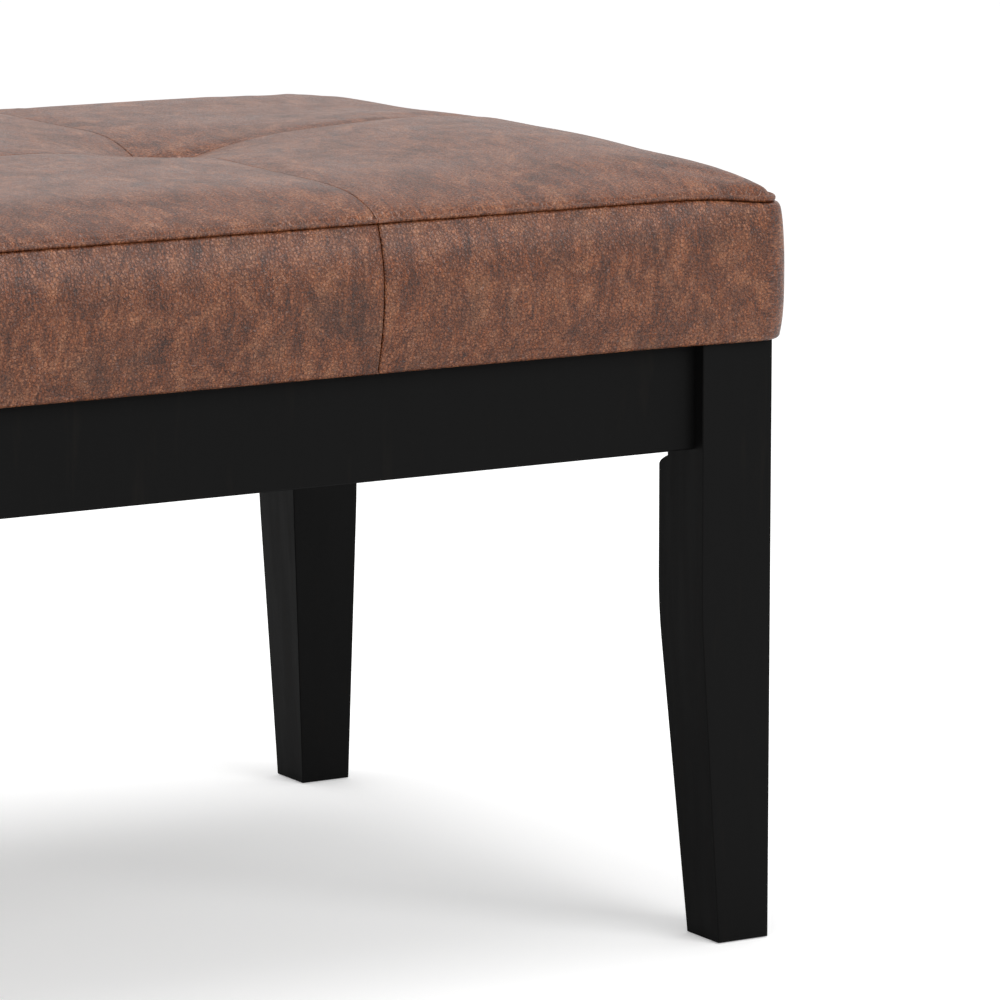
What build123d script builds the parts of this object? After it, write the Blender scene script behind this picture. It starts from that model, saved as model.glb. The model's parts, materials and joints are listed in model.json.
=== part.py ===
from build123d import *
import math
import os

os.makedirs("parts", exist_ok=True)

# Bench with a tufted cushion on a knock-down frame of four tapered legs and four aprons.
# Millimetres, +Z up, front towards -Y, origin on the floor under the middle of the bench.

# Overall sizes
frame_length = 1222
frame_depth = 495
cushion_underside_z = 330
perimeter_seam_z = 408.4
crown_z = 427
column_count = 5

# Legs
leg_square = 44
foot_square = 32
taper_start_z = 181
taper_blend_radius = 540
leg_edge_cut = 0.5
leg_chamfer = 9
chamfer_runout_below_apron = 14.5
glide_square = 22
glide_corner_cut = 4
glide_thickness = 2.5
glide_proud = 0.6
glide_fit = 0.3

# Aprons
apron_height = 58
apron_thickness = 20
apron_setback = 9
apron_edge_cut = 0.8

# Corner brackets of bent sheet, hooked in kerfs
bracket_sheet = 2
bracket_height = 50
bracket_bend_radius = 3
bracket_gap_to_leg = 22
bracket_wing_length = 30
bracket_lip_depth = 6
bracket_hole_clearance = 0.5
kerf_clearance = 0.5
kerf_floor_clearance = 1

# Hanger bolts, their washers and nuts
bolt_diameter = 8
bolt_length = 70
bolt_in_leg = 35
washer_diameter = 16
washer_thickness = 1.6
nut_across_flats = 13
nut_height = 6.5
thread_clearance = 0.1

# Cleats and centre rail
cleat_square = 18
cleat_start_from_corner = 135
rail_thickness = 20
rail_height = 50
rail_edge_cut = 2
dowel_diameter = 8
dowel_length = 36
dowel_in_apron = 12
dowel_spread = 26
wood_fit = 0.3

# Seat board, foam and wrap
board_thickness = 15
board_inset = 4
board_corner_radius = 12
foam_thickness = 60
foam_edge_cut = 8
soft_clearance = 0.3

# Flat tuft twines and the bars that they are tied to
twine_width = 6
twine_thickness = 1
twine_slot_clearance = 0.5
anchor_length = 30
anchor_width = 8

# Cover
skin = 1.2
flap_width = 60
corner_radius = 9
corner_steps = 4
wall_bulge = 9.3
wall_bulge_z = 369.5
wall_radius = 115
wall_steps = 5
foot_round = 4
foot_steps = 3
seam_lip = 2.4

# Forms of the top panels
column_seam_z = 425.2
row_seam_z = 425.8
tuft_z = 410.8
crown_in = 112
shoulder_in = 32
shoulder_seam_z = 422.1
shoulder_mid_z = 422.8
brink_in = 45
brink_seam_z = 421.8
brink_mid_z = 426.5
tuft_reach = 62
crown_power = 2.6
tuft_power = 2
end_swell = 2.5
end_power = 8.5
end_crown_share = 0.02
middle_panel_steps = 8
end_panel_steps = 9

# Dust cover
dust_sheet = 0.5
dust_gap_to_cleat = 2
dust_corner_cut = 24

overrun = 20

# Derived places
half_length = frame_length / 2
half_depth = frame_depth / 2
apron_bottom_z = cushion_underside_z - apron_height
apron_inner = apron_setback + apron_thickness
board_bottom_z = cushion_underside_z + skin
board_top_z = board_bottom_z + board_thickness
foam_top_z = board_top_z + foam_thickness
column_pitch = frame_length / column_count
tuft_places = [(i + 1) * column_pitch - half_length for i in range(column_count - 1)]
bolt_z = apron_bottom_z + apron_height / 2
web_line = 2 * leg_square - leg_chamfer + bracket_gap_to_leg * math.sqrt(2)
corner_signs = {
    "front_left": (-1, -1),
    "front_right": (1, -1),
    "back_left": (-1, 1),
    "back_right": (1, 1),
}
row_signs = {"front": -1, "back": 1}


def save(shape, name):
    """Write one sub-part under its own name."""
    shape.label = name
    export_step(shape, f"parts/{name}.step")
    print(name, len(shape.solids()), round(shape.volume))


def group(shapes):
    """Separate solids kept side by side in one sub-part."""
    return Compound([solid for shape in shapes for solid in shape.solids()])


def both_sides(front_shapes):
    """Front solids and their twins at the back, in one sub-part."""
    return group(front_shapes + [mirror(shape, about=Plane.XZ) for shape in front_shapes])


def flipped(shape, flip_x, flip_y):
    """Twin of a shape on the other end of the bench, on its other side, or both."""
    if flip_x and flip_y:
        return Rot(0, 0, 180) * shape
    if flip_x:
        return mirror(shape, about=Plane.YZ)
    if flip_y:
        return mirror(shape, about=Plane.XZ)
    return shape


def to_corner(shape, sign_x, sign_y):
    """Move a shape made at the outer corner (0, 0), inward along +X and +Y, to one corner of the frame."""
    return Pos(sign_x * half_length, sign_y * half_depth, 0) * flipped(shape, sign_x > 0, sign_y > 0)


def diagonal_plane(along):
    """Plane square to a corner's diagonal, facing inward, where X + Y from the outer corner is along."""
    return Plane(origin=(along / 2, along / 2, bolt_z), x_dir=(1, -1, 0), z_dir=(1, 1, 0))


def rod(plane, diameter, length):
    """Round bar from a plane along its normal."""
    return extrude(plane * Circle(diameter / 2), amount=length)


def leg_taper(plane):
    """Side view of a leg, straight on the outside and tapered with a soft bend on the inside."""
    outline = FilletPolyline(
        (leg_square, cushion_underside_z),
        (leg_square, taper_start_z),
        (foot_square, glide_proud),
        radius=taper_blend_radius,
    )
    rest = Polyline(
        (foot_square, glide_proud),
        (0, glide_proud),
        (0, cushion_underside_z),
        (leg_square, cushion_underside_z),
    )
    return plane * make_face(outline.edges() + rest.edges())


def leg_blank():
    """Leg tapered on its two inner faces, all its long edges eased."""
    along_x = extrude(leg_taper(Plane.XZ), amount=leg_square + overrun, both=True)
    along_y = extrude(leg_taper(Plane.YZ), amount=leg_square + overrun, both=True)
    blank = along_x & along_y
    ends = blank.faces().sort_by(Axis.Z)
    end_edges = ends[0].edges() + ends[-1].edges()
    long_edges = [edge for edge in blank.edges() if edge not in end_edges]
    return chamfer(long_edges, leg_edge_cut)


def chamfer_cutter():
    """Cutter that flattens the leg's inner corner and runs out in a quarter circle below the apron."""
    depth = leg_chamfer / math.sqrt(2)
    stop_z = apron_bottom_z - chamfer_runout_below_apron
    side_view = Plane(origin=(leg_square, leg_square, 0), x_dir=(1, 1, 0), z_dir=(1, -1, 0))
    top_z = cushion_underside_z + overrun
    outline = Polyline(
        (0, stop_z),
        (overrun, stop_z),
        (overrun, top_z),
        (-depth, top_z),
        (-depth, stop_z + depth),
    )
    runout = RadiusArc((-depth, stop_z + depth), (0, stop_z), depth)
    return extrude(side_view * make_face(outline.edges() + runout.edges()), amount=leg_square, both=True)


def glide_form(size):
    """Square block with cut corners, as thick as the pad, under the middle of the foot."""
    pad = chamfer(Rectangle(size, size).vertices(), glide_corner_cut)
    return Pos(foot_square / 2, foot_square / 2, 0) * extrude(pad, amount=glide_thickness)


def leg():
    """One leg with its inner chamfer, its bolt hole and the shallow recess for the pad."""
    chamfer_plane = diagonal_plane(2 * leg_square - leg_chamfer)
    bolt_hole = rod(chamfer_plane, bolt_diameter + thread_clearance, -bolt_in_leg - thread_clearance)
    recess = glide_form(glide_square + 2 * glide_fit)
    return leg_blank() - chamfer_cutter() - bolt_hole - recess


def glide():
    """Nylon pad let into the foot."""
    return glide_form(glide_square)


def bracket_tip():
    """Distance of the ends of the bracket's wings from the outer corner."""
    return web_line - apron_inner + bracket_wing_length


def bracket_side(wing, web, bend_radius):
    """One side of the bent sheet, seen from above, from the end of one wing to the end of the other."""
    tip = bracket_tip()
    corners = [(tip, wing), (web - wing, wing), (wing, web - wing), (wing, tip)]
    return FilletPolyline(*corners, radius=bend_radius)


def both_wings(shape):
    """A shape on the long apron's wing and its twin on the short apron's wing."""
    return [shape, mirror(shape, about=Plane(origin=(0, 0, 0), x_dir=(1, 1, 0), z_dir=(1, -1, 0)))]


def corner_bracket():
    """Bent sheet across the corner, its lips turned into the kerfs, with a hole for the hanger bolt."""
    tip = bracket_tip()
    far_wing = apron_inner + bracket_sheet
    far_web = web_line + bracket_sheet * math.sqrt(2)
    near = bracket_side(apron_inner, web_line, bracket_bend_radius + bracket_sheet)
    far = bracket_side(far_wing, far_web, bracket_bend_radius)
    ends = [Line((tip, apron_inner), (tip, far_wing)), Line((apron_inner, tip), (far_wing, tip))]
    section = make_face(near.edges() + far.edges() + ends)
    plate = Pos(0, 0, bolt_z - bracket_height / 2) * extrude(section, amount=bracket_height)
    lip = Pos(tip, far_wing, bolt_z) * Box(
        bracket_sheet,
        bracket_sheet + bracket_lip_depth,
        bracket_height,
        align=(Align.MAX, Align.MAX, Align.CENTER),
    )
    for piece in both_wings(lip):
        plate += piece
    return plate - rod(diagonal_plane(web_line), bolt_diameter + bracket_hole_clearance, overrun)


def hanger_bolt():
    """Bolt with its wood end in the leg and its other end through the bracket."""
    wood_end = diagonal_plane(2 * leg_square - leg_chamfer).offset(-bolt_in_leg)
    return rod(wood_end, bolt_diameter, bolt_length)


def washer_plane():
    """Plane on the far side of the bracket's web."""
    return diagonal_plane(web_line + bracket_sheet * math.sqrt(2))


def hanger_washer():
    ring = Circle(washer_diameter / 2) - Circle((bolt_diameter + bracket_hole_clearance) / 2)
    return extrude(washer_plane() * ring, amount=washer_thickness)


def hanger_nut():
    hexagon = RegularPolygon(nut_across_flats / 2, 6, major_radius=False)
    ring = hexagon - Circle((bolt_diameter + thread_clearance) / 2)
    return extrude(washer_plane().offset(washer_thickness) * ring, amount=nut_height)


def long_apron_blank():
    """Board between two legs along the bench, made for the front."""
    length = frame_length - 2 * leg_square
    blank = Pos(0, apron_setback - half_depth, apron_bottom_z) * Box(
        length, apron_thickness, apron_height, align=(Align.CENTER, Align.MIN, Align.MIN)
    )
    lower = blank.faces().sort_by(Axis.Z)[0].edges().filter_by(Axis.X)
    return chamfer(lower, apron_edge_cut)


def short_apron_blank():
    """Board between two legs across the bench, made for the left end."""
    length = frame_depth - 2 * leg_square
    blank = Pos(apron_setback - half_length, 0, apron_bottom_z) * Box(
        apron_thickness, length, apron_height, align=(Align.MIN, Align.CENTER, Align.MIN)
    )
    lower = blank.faces().sort_by(Axis.Z)[0].edges().filter_by(Axis.Y)
    return chamfer(lower, apron_edge_cut)


def corner_kerfs():
    """Saw kerfs for the bracket's two lips, at the outer corner."""
    width = bracket_sheet + 2 * kerf_clearance
    depth = bracket_lip_depth + kerf_floor_clearance
    kerf = Pos(bracket_tip() - bracket_sheet / 2, apron_inner, bolt_z) * Box(
        width, depth, apron_height + overrun, align=(Align.CENTER, Align.MAX, Align.CENTER)
    )
    return both_wings(kerf)


def cleat_spans():
    """Start and end of the two cleats on one long apron, left and right of the centre rail."""
    outer = half_length - cleat_start_from_corner
    inner = rail_thickness / 2 + wood_fit
    return {"left": (-outer, -inner), "right": (inner, outer)}


def cleat(start, end):
    """Square strip glued inside the front apron, under the seat board."""
    return Pos(start, apron_inner - half_depth, cushion_underside_z) * Box(
        end - start, cleat_square, cleat_square, align=(Align.MIN, Align.MIN, Align.MAX)
    )


def dowel_places():
    middle = cushion_underside_z - dust_sheet - rail_height / 2
    return [middle - dowel_spread / 2, middle + dowel_spread / 2]


def dowel_plane(z):
    """Plane at the blind end of a dowel hole in the front apron, facing the rail."""
    return Plane(origin=(0, apron_inner - dowel_in_apron - half_depth, z), x_dir=(1, 0, 0), z_dir=(0, 1, 0))


def dowel_hole(z):
    return rod(dowel_plane(z), dowel_diameter + thread_clearance, dowel_length + thread_clearance)


def rail_dowels():
    return both_sides([rod(dowel_plane(z), dowel_diameter, dowel_length) for z in dowel_places()])


def centre_rail():
    """Rail across the bench under the dust cover, between the long aprons."""
    length = frame_depth - 2 * apron_inner
    rail = Pos(0, 0, cushion_underside_z - dust_sheet) * Box(
        rail_thickness, length, rail_height, align=(Align.CENTER, Align.CENTER, Align.MAX)
    )
    lower = rail.faces().sort_by(Axis.Z)[0].edges().filter_by(Axis.Y)
    rail = chamfer(lower, rail_edge_cut)
    for z in dowel_places():
        rail -= dowel_hole(z)
        rail -= mirror(dowel_hole(z), about=Plane.XZ)
    return rail


def long_apron():
    """Front apron with a kerf at both ends and dowel holes for the rail."""
    board = long_apron_blank()
    for kerf in corner_kerfs():
        board -= to_corner(kerf, -1, -1)
        board -= to_corner(kerf, 1, -1)
    for z in dowel_places():
        board -= dowel_hole(z)
    return board


def short_apron():
    """Left apron with a kerf at both ends."""
    board = short_apron_blank()
    for kerf in corner_kerfs():
        board -= to_corner(kerf, -1, -1)
        board -= to_corner(kerf, -1, 1)
    return board


def board_outline():
    """Outline shared by the board and the foam, inside the cover."""
    inset = 2 * board_inset
    return RectangleRounded(frame_length - inset, frame_depth - inset, board_corner_radius)


def twine_slots(low, high):
    """Slots for the four twines between two heights."""
    width = twine_width + 2 * twine_slot_clearance
    depth = twine_thickness + 2 * twine_slot_clearance
    slot = Pos(0, 0, low) * Box(width, depth, high - low, align=(Align.CENTER, Align.CENTER, Align.MIN))
    return [Pos(x, 0, 0) * slot for x in tuft_places]


def seat_board():
    """Plywood board with a slot for each twine."""
    board = Pos(0, 0, board_bottom_z) * extrude(board_outline(), amount=board_thickness)
    for slot in twine_slots(board_bottom_z, board_top_z):
        board -= slot
    return board


def foam_form():
    """Foam slab with its upper edge bevelled."""
    slab = Pos(0, 0, board_top_z) * extrude(board_outline(), amount=foam_thickness)
    return chamfer(slab.faces().sort_by(Axis.Z)[-1].edges(), foam_edge_cut)


def foam_block():
    """Foam slab with a slit for each twine."""
    slab = foam_form()
    for slot in twine_slots(board_top_z, foam_top_z):
        slab -= slot
    return slab


def tuft_twine(x):
    """Flat twine from the seam crossing of a tuft down to the bar under the board."""
    return Pos(x, 0, board_bottom_z) * Box(
        twine_width,
        twine_thickness,
        perimeter_seam_z - board_bottom_z,
        align=(Align.CENTER, Align.CENTER, Align.MIN),
    )


def tuft_anchor(x):
    """Flat bar that holds the twine, between the board and the dust cover."""
    return Pos(x, 0, board_bottom_z) * Box(
        anchor_length,
        anchor_width,
        board_bottom_z - cushion_underside_z,
        align=(Align.CENTER, Align.CENTER, Align.MAX),
    )


def wall_out(z, inset):
    """How far the cushion's side stands out from the frame at one height."""
    return wall_bulge - wall_radius + math.sqrt((wall_radius - inset) ** 2 - (z - wall_bulge_z) ** 2)


def side_out(z, low, inset):
    """How far the side stands out at one height, its lower edge rounded at low."""
    foot = foot_round - inset
    into_foot = min(max(low + foot - z, 0), foot)
    return wall_out(z, inset) - foot + math.sqrt(foot**2 - into_foot**2)


def side_heights(low, high, inset):
    """Heights from the underside to the seam, closer together round the lower edge."""
    foot = foot_round - inset
    turns = [math.radians(90 * i / foot_steps) for i in range(foot_steps)]
    rise = (high - low - foot) / wall_steps
    return [low + foot * (1 - math.cos(turn)) for turn in turns] + [
        low + foot + i * rise for i in range(wall_steps + 1)
    ]


def corner_centre():
    """Middle of the plan corner at the back right."""
    return half_length - corner_radius, half_depth - corner_radius


def side_outline(radius):
    """Outline of the cushion from above, its corners rounded about their centres."""
    x, y = corner_centre()
    points = []
    for quarter, (sign_x, sign_y) in enumerate(((1, 1), (-1, 1), (-1, -1), (1, -1))):
        for i in range(corner_steps + 1):
            turn = math.radians(90 * (quarter + i / corner_steps))
            points.append((sign_x * x + radius * math.cos(turn), sign_y * y + radius * math.sin(turn)))
    return make_face(Polyline(*points, close=True))


def side_form(low, high, inset):
    """Filled form of the cushion's bulging side between two heights."""
    outlines = [
        Pos(0, 0, z) * side_outline(corner_radius + side_out(z, low, inset))
        for z in side_heights(low, high, inset)
    ]
    return loft(outlines, ruled=True)


def flap_strip(start_x, end_x, start_y, end_y):
    """Flat strip of the cover's lower edge, turned under the board."""
    return Pos(start_x, start_y, cushion_underside_z) * Box(
        end_x - start_x, end_y - start_y, skin, align=(Align.MIN, Align.MIN, Align.MIN)
    )


def side_skin():
    """Cover of the cushion's side, one skin thick, with the start of its turned-under edge."""
    outer = side_form(cushion_underside_z, perimeter_seam_z, 0)
    opening = Box(
        2 * corner_centre()[0],
        2 * corner_centre()[1],
        overrun,
        align=(Align.CENTER, Align.CENTER, Align.CENTER),
    )
    hollow = side_form(board_bottom_z, perimeter_seam_z, skin)
    return outer - hollow - Pos(0, 0, cushion_underside_z) * opening


def boxing(skin_form, start_x, end_x):
    """Front piece of the cover's side between two column seams, up to the row seams on the ends."""
    window = Pos(start_x, 0, cushion_underside_z) * Box(
        end_x - start_x,
        frame_depth,
        perimeter_seam_z - cushion_underside_z,
        align=(Align.MIN, Align.MAX, Align.MIN),
    )
    return skin_form & window


def corner_boxing(skin_form):
    """Front right corner piece, from the last column seam round to the row seam on the end."""
    x, y = corner_centre()
    seam_x = half_length - column_pitch
    flap_in = flap_width - corner_radius
    front_flap = flap_strip(seam_x, x, -y, flap_in - y)
    end_flap = flap_strip(x - flap_in, x, -y, 0)
    return boxing(skin_form, seam_x, frame_length) + front_flap + end_flap


def middle_boxing(skin_form, centre_x):
    """Straight front piece of one column."""
    y = corner_centre()[1]
    start = centre_x - column_pitch / 2
    end = centre_x + column_pitch / 2
    return boxing(skin_form, start, end) + flap_strip(start, end, -y, flap_width - corner_radius - y)


def mid_heights(swell):
    """Heights across the middle of a panel, raised by its swell: shoulder, crown, brink, row seam."""
    return shoulder_mid_z, crown_z + swell, brink_mid_z + swell, row_seam_z + swell


def seam_heights():
    """Heights along a column seam: shoulder, crown, brink, tuft."""
    return shoulder_seam_z, column_seam_z, brink_seam_z, tuft_z


def crown_rise(place_share):
    """Rise from a column seam to the crown, as a share, along a panel from 0 to 1."""
    return 1 - abs(2 * place_share - 1) ** crown_power


def tuft_rise(distance):
    """Rise of the row seam out of a tuft, as a share."""
    return 1 - max(1 - distance / tuft_reach, 0) ** tuft_power


def end_rise(place_share):
    """Height kept over the outer half of an end panel, as a share, from the middle at 0.5 to the end at 1."""
    return 1 - (1 - end_crown_share) * (2 * place_share - 1) ** end_power


def station_heights(place_share, swell):
    """Heights between those of the column seam and those of the panel's middle."""
    rise = crown_rise(place_share)
    from_tuft = tuft_rise(min(place_share, 1 - place_share) * column_pitch)
    shares = (rise, rise, rise, from_tuft)
    return [
        low + (high - low) * share
        for low, high, share in zip(seam_heights(), mid_heights(swell), shares)
    ]


def end_heights(place_share):
    """Heights over the outer half of an end panel, down to the lip."""
    lip_z = perimeter_seam_z + seam_lip
    return [lip_z + (z - lip_z) * end_rise(place_share) for z in mid_heights(end_swell)]


def stations(step_count):
    """Places along a panel from 0 to 1, closer together towards both ends."""
    return [(1 - math.cos(math.pi * i / step_count)) / 2 for i in range(step_count + 1)]


def panel_section(x, edge_y, heights):
    """Closed outline across the bench at one place of a front panel."""
    shoulder_z, top_z, brink_z, valley_z = heights
    lip = (edge_y, perimeter_seam_z + seam_lip)
    shoulder = (edge_y + shoulder_in, shoulder_z)
    top = (edge_y + crown_in, top_z)
    brink = (-brink_in, brink_z)
    valley = (0, valley_z)
    to_shoulder = TangentArc(top, shoulder, tangent=(-1, 0))
    to_lip = TangentArc(shoulder, lip, tangent=to_shoulder % 1)
    to_brink = TangentArc(top, brink, tangent=(1, 0))
    to_valley = TangentArc(brink, valley, tangent=to_brink % 1)
    rest = Polyline(lip, (edge_y, perimeter_seam_z), (0, perimeter_seam_z), valley)
    outline = [to_shoulder, to_lip, to_brink, to_valley, *rest.edges()]
    return Plane(origin=(x, 0, 0), x_dir=(0, 1, 0), z_dir=(1, 0, 0)) * make_face(outline)


def seam_edge_y():
    """Line of the perimeter seam on the front."""
    return -half_depth - wall_out(perimeter_seam_z, 0)


def middle_panel(centre_x):
    """Front panel between two column seams, with the fibre quilted to its underside."""
    start_x = centre_x - column_pitch / 2
    sections = [
        panel_section(start_x + share * column_pitch, seam_edge_y(), station_heights(share, 0))
        for share in stations(middle_panel_steps)
    ]
    return loft(sections, ruled=True)


def end_stations(length, plan_radius):
    """Places along an end panel from 0 to 1 and how far the plan corner draws its edge in at each."""
    straight_share = 1 - plan_radius / length
    places = [(straight_share * share, 0) for share in stations(end_panel_steps)]
    for i in range(1, corner_steps + 1):
        turn = math.radians(90 * i / corner_steps)
        place = straight_share + math.sin(turn) * plan_radius / length
        places.append((place, plan_radius * (1 - math.cos(turn))))
    return places


def end_panel():
    """Front panel at the right end, rounded over its end and its plan corner."""
    start_x = half_length - column_pitch
    end_x = half_length + wall_out(perimeter_seam_z, 0)
    length = end_x - start_x
    sections = []
    for share, edge_in in end_stations(length, end_x - corner_centre()[0]):
        heights = station_heights(share, end_swell) if share < 0.5 else end_heights(share)
        sections.append(panel_section(start_x + share * length, seam_edge_y() + edge_in, heights))
    return loft(sections, ruled=True)


def middle_columns():
    """Middle places of the columns between the two end columns."""
    return [(i + 0.5) * column_pitch - half_length for i in range(1, column_count - 1)]


def fibre_wrap():
    """Wrap over the foam and round the edge of the board, under the panels."""
    wrap = side_form(board_bottom_z, perimeter_seam_z, skin + soft_clearance) - foam_form()
    wrap -= Pos(0, 0, board_bottom_z) * extrude(board_outline(), amount=board_thickness)
    for slot in twine_slots(foam_top_z, perimeter_seam_z):
        wrap -= slot
    return wrap


def dust_cover():
    """Thin sheet under the board, inside the cleats, over the raw edges of the cover."""
    inset = apron_inner + cleat_square + dust_gap_to_cleat
    sheet = Rectangle(frame_length - 2 * inset, frame_depth - 2 * inset)
    sheet = chamfer(sheet.vertices(), dust_corner_cut)
    return Pos(0, 0, cushion_underside_z - dust_sheet) * extrude(sheet, amount=dust_sheet)


for place, (sign_x, sign_y) in corner_signs.items():
    save(to_corner(leg(), sign_x, sign_y), f"leg_{place}")
    save(to_corner(glide(), sign_x, sign_y), f"glide_{place}")
    save(to_corner(corner_bracket(), sign_x, sign_y), f"corner_bracket_{place}")

save(group([to_corner(hanger_bolt(), *signs) for signs in corner_signs.values()]), "hanger_bolts")
save(group([to_corner(hanger_washer(), *signs) for signs in corner_signs.values()]), "hanger_washers")
save(group([to_corner(hanger_nut(), *signs) for signs in corner_signs.values()]), "hanger_nuts")

front_apron = long_apron()
left_apron = short_apron()
save(front_apron, "apron_front")
save(mirror(front_apron, about=Plane.XZ), "apron_back")
save(left_apron, "apron_left")
save(mirror(left_apron, about=Plane.YZ), "apron_right")

for side, (start, end) in cleat_spans().items():
    front_cleat = cleat(start, end)
    save(front_cleat, f"cleat_front_{side}")
    save(mirror(front_cleat, about=Plane.XZ), f"cleat_back_{side}")

save(centre_rail(), "centre_rail")
save(rail_dowels(), "rail_dowels")
save(seat_board(), "seat_board")
save(foam_block(), "foam_block")
save(fibre_wrap(), "fibre_wrap")
save(group([tuft_twine(x) for x in tuft_places]), "tuft_twines")
save(group([tuft_anchor(x) for x in tuft_places]), "tuft_anchors")
save(dust_cover(), "dust_cover")

side = side_skin()
right_boxing = corner_boxing(side)
right_panel = end_panel()
for row, sign_y in row_signs.items():
    for number, centre_x in enumerate(middle_columns(), start=2):
        save(flipped(middle_boxing(side, centre_x), False, sign_y > 0), f"boxing_{row}_{number}")
        save(flipped(middle_panel(centre_x), False, sign_y > 0), f"top_panel_{row}_{number}")
    for number, sign_x in ((1, -1), (column_count, 1)):
        save(flipped(right_boxing, sign_x < 0, sign_y > 0), f"boxing_{row}_{number}")
        save(flipped(right_panel, sign_x < 0, sign_y > 0), f"top_panel_{row}_{number}")
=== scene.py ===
import json
import math
import bpy
import numpy as np
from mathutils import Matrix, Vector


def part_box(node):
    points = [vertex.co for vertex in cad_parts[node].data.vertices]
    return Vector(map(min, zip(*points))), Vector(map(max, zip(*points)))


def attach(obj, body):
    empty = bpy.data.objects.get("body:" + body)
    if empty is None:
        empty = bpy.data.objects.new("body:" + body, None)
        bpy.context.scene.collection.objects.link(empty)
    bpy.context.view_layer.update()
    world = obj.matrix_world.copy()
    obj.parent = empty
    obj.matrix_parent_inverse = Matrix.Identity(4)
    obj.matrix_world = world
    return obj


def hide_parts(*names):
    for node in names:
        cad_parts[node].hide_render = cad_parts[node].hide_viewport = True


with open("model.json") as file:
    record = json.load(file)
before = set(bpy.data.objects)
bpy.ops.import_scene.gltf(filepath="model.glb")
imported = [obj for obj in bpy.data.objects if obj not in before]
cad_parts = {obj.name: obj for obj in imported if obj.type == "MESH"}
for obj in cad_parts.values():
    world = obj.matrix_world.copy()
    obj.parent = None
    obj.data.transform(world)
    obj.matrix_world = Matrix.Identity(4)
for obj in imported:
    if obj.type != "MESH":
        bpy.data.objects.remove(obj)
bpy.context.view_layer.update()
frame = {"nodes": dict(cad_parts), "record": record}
scene = bpy.context.scene
mm = 0.001

# Camera, matched to the photograph
cameraSettings = {
    "place": (-1.1871, -2.9601, 0.8143),
    "yaw": 30.966,  # degrees from +Y towards +X
    "pitch": 9.985,  # degrees below the horizon
    "lens": 220.68,
    "sensor": 36,
}


def makeCamera(settings):
    data = bpy.data.cameras.new("camera")
    data.lens = settings["lens"]
    data.sensor_width = settings["sensor"]
    data.clip_end = 100
    camera = bpy.data.objects.new("camera", data)
    camera.location = settings["place"]
    camera.rotation_euler = (math.radians(90 - settings["pitch"]), 0, math.radians(-settings["yaw"]))
    scene.collection.objects.link(camera)
    scene.camera = camera


makeCamera(cameraSettings)
scene.view_settings.view_transform = "Standard"
print("camera placed")


# Helpers for node trees. Inputs are set to values or linked to sockets
def addNode(tree, kind, inputs=None, **settings):
    node = tree.nodes.new("ShaderNode" + kind)
    for name, value in settings.items():
        setattr(node, name, value)
    for name, value in (inputs or {}).items():
        if isinstance(value, bpy.types.NodeSocket):
            tree.links.new(value, node.inputs[name])
        else:
            node.inputs[name].default_value = value
    return node


def calculate(tree, operation, first, second=0.0):
    return addNode(tree, "Math", {0: first, 1: second}, operation=operation).outputs[0]


def remap(tree, value, low, high, newLow=0.0, newHigh=1.0):
    inputs = {"Value": value, "From Min": low, "From Max": high, "To Min": newLow, "To Max": newHigh}
    return addNode(tree, "MapRange", inputs).outputs[0]


def mixColours(tree, factor, first, second, blend="MIX"):
    inputs = {"Factor": factor, 6: first, 7: second}
    return addNode(tree, "Mix", inputs, data_type="RGBA", blend_type=blend).outputs[2]


def noise(tree, place, scale, detail=4.0, roughness=0.55, distortion=0.0):
    inputs = {"Vector": place, "Scale": scale, "Detail": detail, "Roughness": roughness}
    inputs["Distortion"] = distortion
    return addNode(tree, "TexNoise", inputs).outputs[0]


def turned(tree, place, degrees, scale):
    inputs = {"Vector": place, "Rotation": (0, 0, math.radians(degrees)), "Scale": scale}
    return addNode(tree, "Mapping", inputs).outputs[0]


def ramp(tree, factor, stops):
    node = addNode(tree, "ValToRGB", {"Fac": factor})
    elements = node.color_ramp.elements
    while len(elements) < len(stops):
        elements.new(0.5)
    for element, (place, colour) in zip(elements, stops):
        element.position = place
        element.color = colour
    return node.outputs[0]


def bump(tree, height, strength, distance, under=None):
    inputs = {"Height": height, "Strength": strength, "Distance": distance}
    if under:
        inputs["Normal"] = under
    return addNode(tree, "Bump", inputs).outputs[0]


def fromRgb(red, green, blue):
    shares = [value / 255 for value in (red, green, blue)]
    shares = [s / 12.92 if s <= 0.04045 else ((s + 0.055) / 1.055) ** 2.4 for s in shares]
    return (*shares, 1)


def newMaterial(name, **sockets):
    material = bpy.data.materials.new(name)
    material.use_nodes = True
    tree = material.node_tree
    tree.nodes.clear()
    shader = addNode(tree, "BsdfPrincipled")
    addNode(tree, "OutputMaterial", {"Surface": shader.outputs[0]})
    for name, value in sockets.items():
        shader.inputs[name.replace("_", " ")].default_value = value
    return material, tree, shader


def connect(value, shader, name):
    shader.id_data.links.new(value, shader.inputs[name])


def objectPlace(tree):
    return addNode(tree, "TexCoord").outputs["Object"]


# Faux leather: distressed brown with clouds, warm streaks, fine specks and a pebbled grain, with painted
# shade darkening the grain's furrows
leatherSettings = {
    "dark": fromRgb(47, 22, 11),
    "middle": fromRgb(98, 51, 27),
    "light": fromRgb(152, 101, 70),
    "warm": fromRgb(162, 86, 36),
    "cool": fromRgb(60, 37, 26),
    "warmShare": 0.75,
    "coolShare": 0.7,
    "cloudScale": 26,  # clouds per metre
    "streakScale": 60,
    "streaks": ((12, 7, 1.4), (-38, 6, 1.8)),  # slope in degrees, narrowness, waver
    "speckleScale": 640,
    "speckleShare": 0.54,
    "grainScale": 560,
    "grainBend": (0.0012, 0.0012, 0),
    "paintedGrainShade": 0.3,
    # How dark the painted shade in the grain's furrows is
    "grainDepth": 0.00045,
    "poreShare": 0.7,
    "roughness": (0.27, 0.38),
}


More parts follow.
